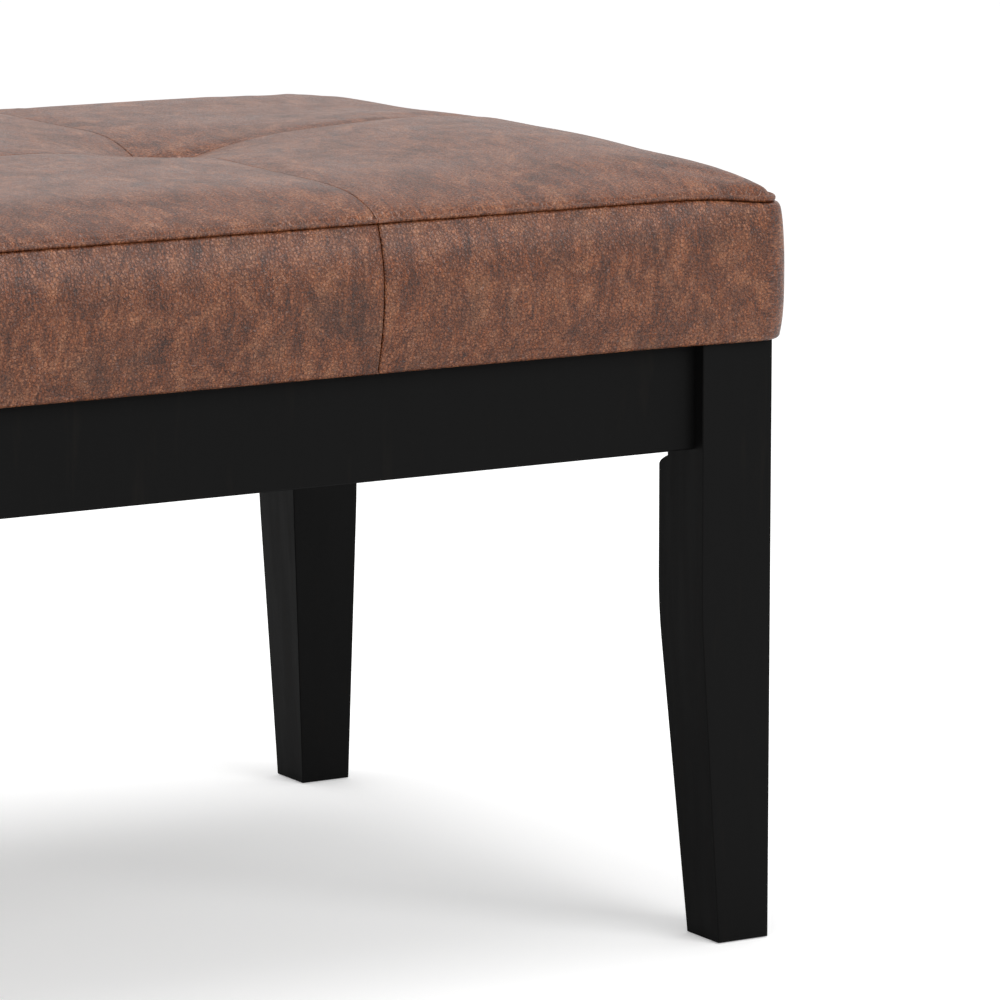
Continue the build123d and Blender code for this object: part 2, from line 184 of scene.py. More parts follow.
def leatherMaterial(settings):
    gloss = {"Specular_IOR_Level": 0.38, "Coat_Weight": 0.2, "Coat_Roughness": 0.32}
    material, tree, shader = newMaterial("faux_leather", **gloss)
    place = addNode(tree, "UVMap", uv_map="leather").outputs[0]
    clouds = noise(tree, place, settings["cloudScale"], 6, 0.66, 0.6)
    upright = turned(tree, place, 8, (1.4, 0.8, 1))
    patches = noise(tree, upright, 2.1 * settings["cloudScale"], 5, 0.7, 1.0)
    streaks = []
    for slope, narrow, waver in settings["streaks"]:
        scale = [factor * settings["streakScale"] for factor in (narrow, 1.2)]
        streaks.append(noise(tree, turned(tree, place, slope, (*scale, 1)), 1, 6, 0.7, waver))
    specks = noise(tree, place, settings["speckleScale"], 3, 0.85)
    share = settings["speckleShare"]
    fine, broad = remap(tree, specks, 0.3, 0.7, 0, share), remap(tree, patches, 0.3, 0.7, 0, 1 - share)
    stops = [(0.24, settings["dark"]), (0.5, settings["middle"]), (0.77, settings["light"])]
    colour = ramp(tree, calculate(tree, "ADD", fine, broad), stops)
    streaked = calculate(tree, "MAXIMUM", *streaks)
    warmth = remap(tree, streaked, 0.5, 0.74, 0, settings["warmShare"])
    warmth = calculate(tree, "MULTIPLY", warmth, remap(tree, specks, 0.35, 0.6, 0.4, 1))
    colour = mixColours(tree, warmth, colour, settings["warm"])
    shade = remap(tree, clouds, 0.52, 0.68, 0, settings["coolShare"])
    shade = calculate(tree, "MULTIPLY", shade, remap(tree, specks, 0.65, 0.4, 0.4, 1))
    colour = mixColours(tree, shade, colour, settings["cool"])
    wander = addNode(tree, "TexNoise", {"Vector": place, "Scale": 0.6 * settings["grainScale"]})
    bend = {0: wander.outputs["Color"], 1: settings["grainBend"], 2: place}
    bent = addNode(tree, "VectorMath", bend, operation="MULTIPLY_ADD").outputs[0]
    pebbles = {"Vector": bent, "Scale": settings["grainScale"]}
    edges = addNode(tree, "TexVoronoi", pebbles, feature="DISTANCE_TO_EDGE").outputs["Distance"]
    # Painted shade: the colour darkens towards the pebbles' edges, the furrows where the grain's bump is
    # lowest
    paintedFurrowShade = remap(tree, edges, 0.0, 0.14, settings["paintedGrainShade"], 0.0)
    connect(mixColours(tree, paintedFurrowShade, colour, settings["dark"]), shader, "Base Color")
    connect(remap(tree, clouds, 0.3, 0.7, *settings["roughness"]), shader, "Roughness")
    pores = noise(tree, place, 2.2 * settings["grainScale"], 2, 0.5)
    pores = calculate(tree, "MULTIPLY", pores, settings["poreShare"])
    grain = calculate(tree, "ADD", remap(tree, edges, 0.0, 0.2), pores)
    connect(bump(tree, grain, 1.0, settings["grainDepth"]), shader, "Normal")
    return material


# Painted wood: nearly black satin paint over a faint wood grain
paintSettings = {
    "colour": fromRgb(14, 14, 14),
    "worn": fromRgb(24, 22, 20),
    "roughness": (0.5, 0.62),
    "grainDepth": 0.0003,
    "sprayDepth": 0.0002,
}


def paintMaterial(settings):
    material, tree, shader = newMaterial("painted_wood", Specular_IOR_Level=0.06)
    place = objectPlace(tree)
    grain = noise(tree, turned(tree, place, 0, (90, 90, 9)), 1, 5, 0.6, 0.4)
    spray = noise(tree, place, 420, 2, 0.5)
    worn = remap(tree, grain, 0.58, 0.82)
    colour = mixColours(tree, worn, settings["colour"], settings["worn"])
    connect(colour, shader, "Base Color")
    connect(remap(tree, grain, 0.3, 0.7, *settings["roughness"]), shader, "Roughness")
    under = bump(tree, grain, 0.2, settings["grainDepth"])
    connect(bump(tree, spray, 0.12, settings["sprayDepth"], under), shader, "Normal")
    return material


# Bare wood and plywood, their grain along one axis
woodSettings = {
    "pale": fromRgb(206, 174, 132),
    "dark": fromRgb(172, 134, 92),
    "glueLine": fromRgb(120, 88, 58),
    "plyThickness": 0.0021,
    "poreDepth": 0.0002,
}


def woodMaterial(name, settings, scale):
    material, tree, shader = newMaterial(name, Roughness=0.62, Specular_IOR_Level=0.3)
    place = objectPlace(tree)
    rings = noise(tree, turned(tree, place, 0, scale), 1, 6, 0.6, 1.2)
    pores = noise(tree, turned(tree, place, 0, tuple(6 * s for s in scale)), 1, 3, 0.7)
    colour = ramp(tree, rings, [(0.3, settings["dark"]), (0.55, settings["pale"]), (0.8, settings["dark"])])
    darker = remap(tree, pores, 0.55, 0.75, 0, 0.4)
    colour = mixColours(tree, darker, colour, settings["dark"], "MULTIPLY")
    connect(colour, shader, "Base Color")
    connect(bump(tree, pores, 0.3, settings["poreDepth"]), shader, "Normal")
    return material, tree, shader, colour


def plywoodMaterial(settings):
    material, tree, shader, colour = woodMaterial("plywood", settings, (12, 120, 120))
    height = addNode(tree, "SeparateXYZ", {0: objectPlace(tree)}).outputs[2]
    plies = calculate(tree, "MULTIPLY", height, math.pi / settings["plyThickness"])
    line = remap(tree, calculate(tree, "ABSOLUTE", calculate(tree, "SINE", plies)), 0.0, 0.25, 0.7, 0)
    connect(mixColours(tree, line, colour, settings["glueLine"]), shader, "Base Color")
    return material


# Zinc plated steel: faint crystalline clouds and scratches
zincSettings = {
    "bright": fromRgb(196, 198, 202),
    "dull": fromRgb(158, 162, 166),
    "roughness": (0.26, 0.46),
    "scratchDepth": 0.0001,
}


def zincMaterial(settings):
    material, tree, shader = newMaterial("zinc_steel", Metallic=1)
    place = objectPlace(tree)
    spangle = addNode(tree, "TexVoronoi", {"Vector": place, "Scale": 180}).outputs["Color"]
    clouds = noise(tree, place, 60, 4, 0.6)
    scratches = noise(tree, turned(tree, place, 25, (900, 60, 900)), 1, 3, 0.7)
    mixture = remap(tree, clouds, 0.3, 0.7, 0, 0.7)
    mixture = calculate(tree, "ADD", calculate(tree, "MULTIPLY", spangle, 0.3), mixture)
    colour = mixColours(tree, mixture, settings["dull"], settings["bright"])
    connect(colour, shader, "Base Color")
    connect(remap(tree, scratches, 0.3, 0.7, *settings["roughness"]), shader, "Roughness")
    connect(bump(tree, scratches, 0.15, settings["scratchDepth"]), shader, "Normal")
    return material


# Plain soft materials: light and dark colour, texture's scale and depth, its stretch, open cells or none
softSettings = {
    "foam": (fromRgb(238, 228, 190), fromRgb(206, 190, 144), 900, 0.0004, (1, 1, 1), True),
    "fibre": (fromRgb(242, 242, 240), fromRgb(206, 206, 206), 260, 0.0012, (1, 0.2, 1), False),
    "twine": (fromRgb(214, 204, 178), fromRgb(150, 138, 110), 900, 0.0003, (1, 1, 0.3), False),
    "dust_cloth": (fromRgb(38, 38, 38), fromRgb(16, 16, 16), 700, 0.0002, (1, 1, 1), True),
}


def softMaterial(name, light, dark, scale, depth, stretch, cells):
    matt = {"Roughness": 0.9, "Specular_IOR_Level": 0.2, "Sheen_Weight": 0.2, "Sheen_Roughness": 0.5}
    material, tree, shader = newMaterial(name, **matt)
    place = turned(tree, objectPlace(tree), 30, stretch)
    fine = noise(tree, place, scale, 5, 0.7, 0.8)
    if cells:
        holes = addNode(tree, "TexVoronoi", {"Vector": place, "Scale": scale}).outputs["Distance"]
        fine = calculate(tree, "MULTIPLY", calculate(tree, "ADD", fine, holes), 0.6)
    connect(mixColours(tree, remap(tree, fine, 0.3, 0.7), dark, light), shader, "Base Color")
    connect(bump(tree, fine, 0.8, depth), shader, "Normal")
    return material


# Moulded plastic and nylon with a fine eroded surface: light and dark colour
plasticSettings = {
    "anchor_plastic": (fromRgb(224, 222, 212), fromRgb(196, 192, 178)),
    "glide_nylon": (fromRgb(216, 216, 208), fromRgb(176, 174, 164)),
}


def plasticMaterial(name, light, dark):
    material, tree, shader = newMaterial(name, Specular_IOR_Level=0.45)
    place = objectPlace(tree)
    fine = noise(tree, place, 1400, 3, 0.6)
    clouds = noise(tree, place, 90, 3, 0.6)
    connect(mixColours(tree, clouds, dark, light), shader, "Base Color")
    connect(remap(tree, clouds, 0.3, 0.7, 0.38, 0.52), shader, "Roughness")
    connect(bump(tree, fine, 0.3, 0.0001), shader, "Normal")
    return material


materials = {
    "faux_leather": leatherMaterial(leatherSettings),
    "painted_wood": paintMaterial(paintSettings),
    "bare_wood": woodMaterial("bare_wood", woodSettings, (14, 110, 110))[0],
    "plywood": plywoodMaterial(woodSettings),
    "zinc_steel": zincMaterial(zincSettings),
    **{name: softMaterial(name, *values) for name, values in softSettings.items()},
    **{name: plasticMaterial(name, *values) for name, values in plasticSettings.items()},
}
slotOf = {part["node"]: part["material_slot"] for part in frame["record"]["subparts"]}
for name, node in frame["nodes"].items():
    node.data.materials.clear()
    node.data.materials.append(materials[slotOf[name]])
print("materials made")


# Every new piece rides on the one body and takes its finish from a slot
def addPiece(piece, slot, *nodes):
    piece.data.materials.clear()
    piece.data.materials.append(materials[slot])
    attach(piece, "root")
    if nodes:
        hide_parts(*nodes)


def meshObject(name, points, faces, smooth=True):
    mesh = bpy.data.meshes.new(name)
    mesh.from_pydata((np.asarray(points, float).reshape(-1, 3) * mm).tolist(), [], faces)
    mesh.polygons.foreach_set("use_smooth", [smooth] * len(mesh.polygons))
    piece = bpy.data.objects.new(name, mesh)
    scene.collection.objects.link(piece)
    return piece


def thicken(piece, thickness):
    thick = piece.modifiers.new("thickness", "SOLIDIFY")
    thick.thickness = thickness * mm
    thick.offset = -1


# Four-cornered faces between the points of a grid
def facesOfGrid(index):
    corners = (index[:-1, :-1], index[:-1, 1:], index[1:, 1:], index[1:, :-1])
    return np.stack([corner.ravel() for corner in corners], axis=1)


# The same between rings of points. Capped closes both ends, closed joins the last ring to the first
def facesOfRings(rings, sides, first=0, capped=False, closed=False):
    index = first + np.arange(rings * sides).reshape(rings, sides)
    index = np.concatenate([index, index[:, :1]], axis=1)
    if closed:
        index = np.concatenate([index, index[:1]])
    faces = facesOfGrid(index).tolist()
    if capped:
        faces += [index[0, :-1].tolist()[::-1], index[-1, :-1].tolist()]
    return faces


# Lower and upper corner of a node of the frame, in millimetres
def boxOf(node):
    return [np.array(corner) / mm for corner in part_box(node)]


def circle(sides):
    return np.linspace(0, 2 * math.pi, sides, endpoint=False)


# Form of the cushion, in millimetres. Its places come from the frame, its forms from the photograph
legBox, boxingBox = boxOf("leg_front_right"), boxOf("boxing_front_5")
halfLength, halfDepth = legBox[1][0], -legBox[0][1]
undersideZ, seamZ = boxingBox[0][2], boxingBox[1][2]
columnCount = sum(name.startswith("top_panel_front_") for name in frame["nodes"])
pitch = 2 * halfLength / columnCount
lastSeam = halfLength - pitch
tuftPlaces = [(i + 1) * pitch - halfLength for i in range(columnCount - 1)]

cushion = {
    "cornerRadius": 9,
    "edgeOut": 2.5,  # how far the top reaches past the frame
    "lip": 2.4,
    "plateauZ": 424.4,
    "crown": 1.0,
    "frontReach": 115,
    "frontPower": 5.5,
    "endReach": 104,
    "endPower": 8,
    "swellFront": 6.3,
    "swellBack": -0.5,
    "swellRow": 5.2,
    "swellX": 525,
    "swellWidth": 83,
    "swellY": 98,
    "swellDepths": (70, 60),  # front to back, of the swell and of the middle row
    "tuftDepth": 12.8,
    "tuftReach": 81,
    "tuftPower": 1.9,
    "tuftStar": 0.17,  # how much narrower a tuft is between its seams
    "tuftShifts": (-5, 3, -3, 9),
    "shiftReach": 75,
    "tuftJogs": (6, -5, 4, -12),  # how far a back seam runs beside its front seam at the tuft
    "jogReach": 48,
    "jogFade": 12,
    "cornerDip": 4.5,
    "cornerDipReach": 32,
    "cornerDipFade": (4.5, 26),  # front, back
    "cornerOut": 1.7,
    "cornerFlat": 8,
    "cornerFade": 42,
    "cornerLift": 0.24,
    "rearDrop": (2.0, 572, 205),  # how much, at which x and y
    "rearReach": (50, 45),
    "seamRoll": 0.9,
    "seamPull": 0.7,
    "seamPullReach": 7,
    "footRound": 2.8,
    "skin": 1.0,
}
cornerRadius = cushion["cornerRadius"]
outlineRadius = cornerRadius + cushion["edgeOut"]
outlineLength = halfLength + cushion["edgeOut"]
outlineDepth = halfDepth + cushion["edgeOut"]
cornerX = halfLength - cornerRadius
cornerY = halfDepth - cornerRadius
tiny = 1e-6  # less than this counts as nothing


def bell(away, reach):
    return np.exp(-((away / reach) ** 2))


# Drop of the perimeter seam near the four corners
def cornerDip(x, y):
    away = (halfLength - np.abs(x)) ** 2 + (halfDepth - np.abs(y)) ** 2
    return cushion["cornerDip"] * np.exp(-away / cushion["cornerDipReach"] ** 2)


# Distance that the rounded outline moves in from the front, at a place along the bench
def edgeIn(x):
    into = np.clip(np.abs(x) - cornerX, 0, outlineRadius)
    return outlineRadius - np.sqrt(np.maximum(outlineRadius**2 - into**2, 0))


# Height of the top before the seams are drawn in
def topZ(x, y):
    fromMiddle, fromRow = np.abs(x), np.abs(y)
    fromFront = outlineDepth - edgeIn(x) - fromRow
    fromEnd = np.maximum(outlineLength - fromMiddle, 0)
    front = 1 - np.clip(1 - fromFront / cushion["frontReach"], 0, 1) ** cushion["frontPower"]
    end = 1 - np.clip(1 - fromEnd / cushion["endReach"], 0, 1) ** cushion["endPower"]
    inner = ((fromMiddle + pitch / 2) % pitch) / pitch
    share = np.where(fromMiddle > lastSeam, (fromMiddle - lastSeam) / pitch, inner)
    depthShare = np.clip(fromRow / outlineDepth, 0, 1)
    crown = np.clip(1 - (2 * share - 1) ** 2, 0, 1) * (1 - (2 * depthShare - 1) ** 2)
    swellDepth, rowDepth = cushion["swellDepths"]
    swell = np.where(y < 0, cushion["swellFront"], cushion["swellBack"])
    swell = swell * bell(fromRow - cushion["swellY"], swellDepth)
    swell = swell + cushion["swellRow"] * bell(fromRow, rowDepth)
    swell = swell * bell(fromMiddle - cushion["swellX"], cushion["swellWidth"])
    rearDrop, rearX, rearY = cushion["rearDrop"]
    alongReach, depthReach = cushion["rearReach"]
    rear = np.exp(-(((fromMiddle - rearX) / alongReach) ** 2) - ((y - rearY) / depthReach) ** 2)
    lipZ = seamZ + cushion["lip"]
    rise = cushion["plateauZ"] + cushion["crown"] * crown + swell - lipZ
    height = lipZ - rearDrop * rear + rise * front * end
    for place in tuftPlaces:
        away = np.hypot(x - place, y) + tiny
        between = 4 * ((x - place) * y) ** 2 / away**4
        away = away * (1 + cushion["tuftStar"] * between)
        pull = np.clip(1 - away / cushion["tuftReach"], 0, 1) ** cushion["tuftPower"]
        height = height - cushion["tuftDepth"] * pull
    fade = np.where(y < 0, *cushion["cornerDipFade"])
    return height - cornerDip(x, y) * bell(np.minimum(fromFront, fromEnd), fade)


# Depth of a plain seam's valley at a distance from the stitch line
def seamValley(distance):
    radius = cushion["seamRoll"]
    inside = np.clip(radius - distance, 0, radius)
    roll = radius - np.sqrt(np.maximum(radius**2 - inside**2, 0))
    return roll + cushion["seamPull"] * bell(distance, cushion["seamPullReach"])


# Sideways shift of the hand-tied tufts and the seams that cross in them
def tuftShift(x, y):
    total = 0 * x
    for place, shift, jog in zip(tuftPlaces, cushion["tuftShifts"], cushion["tuftJogs"]):
        away = (x - place) ** 2 + y**2
        total = total + shift * np.exp(-away / cushion["shiftReach"] ** 2)
        behind = jog * np.clip(y / cushion["jogFade"], 0, 1)
        total = total + behind * np.exp(-away / cushion["jogReach"] ** 2)
    return total


# Section of the sides: values in the middle of a side, and what a corner adds to them
sideSettings = {
    "middleZ": (373, -4),
    "peak": (9.5, 0.1),
    "footIn": (7.4, -4.6),
    "footPower": (1.7, 1.8),
    "upperPower": 2.1,
    "cornerCurve": ((0.4, 2), (0.21, 9), (0.39, 40)),  # shares and their powers
}


# Outward place of the side at a height, from the middle of a side (corner 0) to a corner (corner 1)
def sideOut(z, corner):
    pairs = [sideSettings[name] for name in ("middleZ", "peak", "footIn", "footPower")]
    middleZ, peak, footIn, footPower = (start + change * corner for start, change in pairs)
    upper = np.clip((z - middleZ) / (seamZ - middleZ), 0, 1.2)
    lower = np.clip((middleZ - z) / (middleZ - undersideZ), 0, 1)
    full = sum(share * upper**power for share, power in sideSettings["cornerCurve"])
    edge = cushion["edgeOut"] + cushion["cornerOut"] * corner
    upperDrop = (peak - edge) * ((1 - corner) * upper ** sideSettings["upperPower"] + corner * full)
    return peak - upperDrop - footIn * lower**footPower


# Path round the front right quarter, s from the middle of the front: place and outward direction
arcLength = cornerRadius * math.pi / 2
pathLength = cornerX + arcLength + cornerY
cornerPlace = cornerX + arcLength / 2


def sidePath(s, inset=0.0):
    turn = np.clip((s - cornerX) / cornerRadius, 0, math.pi / 2)
    rest = np.maximum(s - cornerX - arcLength, 0)
    outX, outY = np.sin(turn), -np.cos(turn)
    radius = np.maximum(cornerRadius - inset, 0)
    x = np.minimum(s, cornerX) + radius * outX
    y = -cornerY + radius * outY + rest
    beyond = np.maximum(inset - cornerRadius, 0)
    x = np.where(beyond > 0, np.minimum(x, cornerX - beyond), x)
    y = np.where(beyond > 0, np.maximum(y, beyond - cornerY), y)
    return x, y, outX, outY


# Places from 0 to a length, close together at both ends
def graded(length, steps, first, growth=1.55):
    ends = [0.0]
    step = first
    while step < length / steps:
        ends.append(ends[-1] + step)
        step *= growth
    middle = np.linspace(ends[-1], length - ends[-1], steps + 1)
    return np.concatenate([ends[:-1], middle, [length - e for e in ends[:-1]][::-1]])


# Cloth simulation of the top panels: a net over the whole top, held at its seams and blown up from below
clothSettings = {
    "slack": 1.6,  # how far the middle of each panel starts below its form
    "slackPower": 0.7,
    "cap": 2.2,  # farthest that a point may move
    "frames": 20,
    "steps": 33,  # cells along one side of a panel
    "cloth": {
        "quality": 6,
        "mass": 0.5,
        "tension_stiffness": 40,
        "compression_stiffness": 40,
        "shear_stiffness": 12,
        "bending_stiffness": 2,
        "use_pressure": True,
        "uniform_pressure_force": 4,
        "vertex_group_mass": "held",
    },
}


def bubble(share):
    return np.clip(4 * share * (1 - share), 0, 1) ** clothSettings["slackPower"]


def makeNet(settings):
    columns = np.linspace(-halfLength, halfLength, columnCount * settings["steps"] + 1)
    rows = np.linspace(-1, 1, 2 * settings["steps"] + 1)
    x = np.broadcast_to(columns * outlineLength / halfLength, (len(rows), len(columns)))
    y = rows[:, None] * (outlineDepth - edgeIn(x))
    alongShare = ((np.broadcast_to(columns, x.shape) + halfLength) / pitch) % 1
    alongShare = np.where(np.isclose(alongShare, 1, atol=tiny), 0, alongShare)
    acrossShare = np.broadcast_to(np.abs(rows)[:, None], x.shape)
    z = topZ(x, y) - settings["slack"] * (bubble(alongShare) * bubble(acrossShare))
    pinned = (np.minimum(alongShare, 1 - alongShare) < tiny) | (acrossShare < tiny)
    pinned = pinned | (acrossShare > 1 - tiny)
    pinned[:, 0] = pinned[:, -1] = True
    return x, y, z, pinned


def simulate(name, points, pinned, settings):
    rows, columns = points.shape[:2]
    index = np.arange(rows * columns).reshape(rows, columns)
    net = meshObject(name, points, facesOfGrid(index).tolist())
    group = net.vertex_groups.new(name="held")
    group.add(np.nonzero(pinned.ravel())[0].tolist(), 1, "REPLACE")
    cloth = net.modifiers.new("cloth", "CLOTH")
    for setting, value in settings["cloth"].items():
        setattr(cloth.settings, setting, value)
    cloth.settings.effector_weights.gravity = 0
    cloth.collision_settings.use_collision = False
    cloth.point_cache.frame_end = settings["frames"]
    for number in range(1, settings["frames"] + 1):
        scene.frame_set(number)
        bpy.context.view_layer.update()
    shaped = net.evaluated_get(bpy.context.evaluated_depsgraph_get())
    moved = np.empty(3 * len(shaped.data.vertices))
    shaped.data.vertices.foreach_get("co", moved)
    moved = moved.reshape(points.shape) / mm - points
    mesh = net.data
    bpy.data.objects.remove(net)
    bpy.data.meshes.remove(mesh)
    scene.frame_set(1)
    length = np.linalg.norm(moved, axis=2, keepdims=True)
    return moved * settings["cap"] * np.tanh(length / settings["cap"]) / np.maximum(length, tiny)


topNet = makeNet(clothSettings)
topMoves = np.zeros((*topNet[0].shape, 3))
topMoves = simulate("top_net", np.stack(topNet[:3], axis=2), topNet[3], clothSettings)
print("top simulated", float(np.abs(topMoves).max()))
netForm = topZ(topNet[0], topNet[1]) - topNet[2]


# Value of a net at places in plan, interpolated between its points
def fromNet(values, x, y):
    columns = topNet[0][0]
    column = np.clip(np.interp(x, columns, np.arange(len(columns))), 0, len(columns) - 1.001)
    rowShare = np.clip(y / np.maximum(outlineDepth - edgeIn(x), tiny), -1, 1)
    steps = clothSettings["steps"]
    row = np.clip((rowShare + 1) * steps, 0, 2 * steps - 0.001)
    i, j = row.astype(int), column.astype(int)
    u, v = row - i, column - j
    if values.ndim == 3:
        u, v = u[..., None], v[..., None]
    upper = values[i, j] * (1 - v) + values[i, j + 1] * v
    lower = values[i + 1, j] * (1 - v) + values[i + 1, j + 1] * v
    return upper * (1 - u) + lower * u


# How much of the corner's form a path place s has, 1 round the corner itself
def cornerShare(s):
    beside = np.abs(s - cornerX - arcLength / 2)
    return bell(np.maximum(beside - cushion["cornerFlat"], 0), cushion["cornerFade"])


# Outline of the top, inset by a distance, at a path place s
def topOutline(s, inset):
    x, y, outX, outY = sidePath(s)
    out = cushion["edgeOut"] + cushion["cornerOut"] * cornerShare(s) - inset
    return x + outX * out, y + outY * out


# Hem of a panel: from the stitch line out over the folded ridge and in behind it
hemRows = (  # inset and rise
    (1.5, -0.15), (0.7, -0.05), (0.05, 0.3), (-0.35, 0.85),
    (-0.42, 1.4), (-0.15, 1.95), (0.4, 2.35), (1.1, 2.5),
)
hemTop = hemRows[-1][1]
hemSettings = {
    "inwardRows": (1.9, 2.7, 3.6, 4.7, 6.0, 7.5),
    "creases": ((1.3, 2.5, 1.1), (0.45, 4, 3)),  # depth, inset and width
    "lift": (1.5, 4),  # inset and width
    "pucker": 0.09,
    "puckerWaves": ((0.61, 3.1), (0.37, 1.3), (0.17, 0.4)),
    "alongSteps": (50, 0.35),  # number of steps, length of the first
    "aroundSteps": (46, 0.6),
    "sideSteps": (46, 0.003),
}


def panelHeights(x, y, signs, seamPlaces, inset):
    z = topZ(x * signs[0], y * signs[1]) - seamValley(np.abs(y))
    for seamX in seamPlaces:
        z = z - seamValley(np.abs(x - seamX))
    crease = sum(depth * bell(inset - place, width) for depth, place, width in hemSettings["creases"])
    place, width = hemSettings["lift"]
    return z - crease + cushion["cornerLift"] * cornerDip(x, y) * bell(inset - place, width)


# Slight unevenness along the stitched edge
def pucker(s, number):
    waves = hemSettings["puckerWaves"]
    return sum(hemSettings["pucker"] * np.sin(s * wave + phase + number) for wave, phase in waves)


# One front panel right of the middle: a hem along the outline, then a grid blended between four sides
def panelSurface(startS, endS, seamPlaces, signs, number):
    isEnd = endS > cornerX
    along = startS + graded((cornerPlace if isEnd else endS) - startS, *hemSettings["alongSteps"])
    hemS = along
    if isEnd:
        around = cornerPlace + graded(endS - cornerPlace, *hemSettings["aroundSteps"])
        hemS = np.concatenate([along, around[1:]])
    seamDip = cornerDip(*topOutline(hemS, 0.0))
    nearest = np.minimum(hemS - startS, endS - hemS)
    rows = []
    for inset, rise in hemRows:
        x, y = topOutline(hemS, inset + pucker(hemS, number) * (rise > 0))
        drawnIn = seamValley(nearest) * np.clip(rise, 0, 1)
        lift = cushion["cornerLift"] * seamDip * np.clip(rise / hemTop, 0, 1)
        rows.append((x, y, seamZ - seamDip + rise + lift - 0.5 * drawnIn))
    for inset in hemSettings["inwardRows"]:
        x, y = topOutline(hemS, inset)
        rows.append((x, y, panelHeights(x, y, signs, seamPlaces, inset)))
    hem = np.moveaxis(np.array(rows), 1, 2)
    front = hem[-1, : len(along)]
    if isEnd:
        side = hem[-1, len(along) - 1 :]
    else:
        steps = graded(1, *hemSettings["sideSteps"])
        side = np.stack([front[-1, 0] + 0 * steps, front[-1, 1] * (1 - steps), 0 * steps], axis=1)
    down = (side[:, 1] - side[0, 1]) / (side[-1, 1] - side[0, 1])
    seamSide = np.stack([front[0, 0] + 0 * down, front[0, 1] * (1 - down)], axis=1)
    across = (front[:, 0] - front[0, 0]) / (front[-1, 0] - front[0, 0])
    rowSide = np.stack([front[0, 0] + across * (side[-1, 0] - front[0, 0]), 0 * across], axis=1)
    u, v = across[None, :, None], down[:, None, None]
    plan = (1 - v) * front[None, :, :2] + v * rowSide[None]
    plan = plan + (1 - u) * seamSide[:, None] + u * side[:, None, :2]
    corners = ((0, 0, front[0, :2]), (1, 0, front[-1, :2]), (0, 1, rowSide[0]), (1, 1, rowSide[-1]))
    for cornerU, cornerV, place in corners:
        plan = plan - np.abs(1 - cornerU - u) * np.abs(1 - cornerV - v) * place
    x, y = plan[..., 0], plan[..., 1]
    inset = np.maximum(np.minimum(outlineDepth - edgeIn(x) + y, outlineLength - x), 0)
    grid = np.dstack([x, y, panelHeights(x, y, signs, seamPlaces, inset)])
    grid[0] = front
    if isEnd:
        grid[:, -1] = side
    hemCount = hem.shape[0] * hem.shape[1]
    hemIndex = np.arange(hemCount).reshape(hem.shape[:2])
    gridIndex = np.full(grid.shape[:2], -1)
    gridIndex[0] = hemIndex[-1, : len(along)]
    if isEnd:
        gridIndex[:, -1] = hemIndex[-1, len(along) - 1 :]
    free = gridIndex < 0
    gridIndex[free] = hemCount + np.arange(free.sum())
    points = np.concatenate([hem.reshape(-1, 3), grid[free]])
    faces = np.concatenate([facesOfGrid(hemIndex), facesOfGrid(gridIndex)])
    hemRises = np.array([rise for _, rise in hemRows] + [hemTop] * (len(hem) - len(hemRows)))
    folded = np.concatenate([np.repeat(hemTop - hemRises, hem.shape[1]), np.zeros(free.sum())])
    uv = points[:, :2] - np.stack([0 * folded, folded], axis=1)
    return points, faces, uv


uvStep = np.array([37.3, 611.7])  # takes each piece from another place of the leather


# Mesh of one leather piece, mirrored to its own quarter of the cushion
def leatherPiece(node, points, faces, uv, signX, signY, number):
    x, y = points[:, 0] * signX, points[:, 1] * signY
    shaped = np.stack([x, y, points[:, 2]], axis=1)
    if node.startswith("top"):
        shaped = shaped + fromNet(topMoves, x, y)
        shaped[:, 2] -= fromNet(netForm, x, y) * (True)
    shaped[:, 0] += tuftShift(shaped[:, 0], shaped[:, 1]) * (shaped[:, 2] > seamZ - 1)
    if signX * signY < 0:
        faces = faces[:, ::-1]
    piece = meshObject(f"{node}_sewn", shaped, faces.tolist())
    layer = piece.data.uv_layers.new(name="leather")
    layer.data.foreach_set("uv", ((uv + uvStep * number)[faces.ravel()] * mm).ravel())
    thicken(piece, cushion["skin"])
    addPiece(piece, "faux_leather", node)


# One front boxing piece right of the middle: down the side, round its foot and in under the board
boxingSettings = {
    "seamRows": ((1.5, 0.15), (0.8, 0.3), (0.3, 0.6), (0.0, 1.0)),  # inset and drop
    "alongSteps": (50, 90),  # of a middle piece, of a corner piece
    "cornerSteps": (20, 34),  # how far beside the corner's arc, number of places
    "downSteps": 24,
    "footSteps": 6,
    "flapSteps": (2, 4, 6, 8, 9, 9, 10, 10),
    "pucker": 0.6,
    "valley": 0.9,
    "notch": (0.6, 0.5),  # depth and reach of the stitches' pull
}


